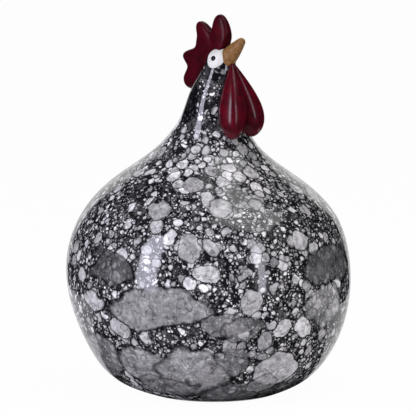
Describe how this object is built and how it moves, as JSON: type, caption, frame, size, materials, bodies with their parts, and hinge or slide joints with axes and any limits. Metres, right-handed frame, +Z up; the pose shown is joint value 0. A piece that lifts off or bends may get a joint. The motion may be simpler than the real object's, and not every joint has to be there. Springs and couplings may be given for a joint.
{
  "type": "ceramic rooster ornament",
  "caption": "Round hollow glazed rooster ornament: a thrown pot drawn up into a neck and head, with a lobed comb, beak, wattles and eyes bedded on it.",
  "frame": {"origin": "on the floor, below the centre of the belly", "axes": "+Z up; the bird faces -Y and its right side is -X"},
  "size_m": [0.2004, 0.2007, 0.2677],
  "materials": {
    "bubble_glaze": "stoneware under a high-gloss black glaze with burst grey and white bubbles",
    "red_slip": "satin dark red",
    "ochre_slip": "satin ochre",
    "white_slip": "satin white",
    "black_glaze": "gloss black bead"
  },
  "bodies": {
    "root": {"body_shell": "bubble_glaze", "comb": "red_slip", "beak": "ochre_slip", "wattle_right": "red_slip", "wattle_left": "red_slip", "eye_white_right": "white_slip", "eye_white_left": "white_slip", "pupil_right": "black_glaze", "pupil_left": "black_glaze"}
  },
  "joints": []
}
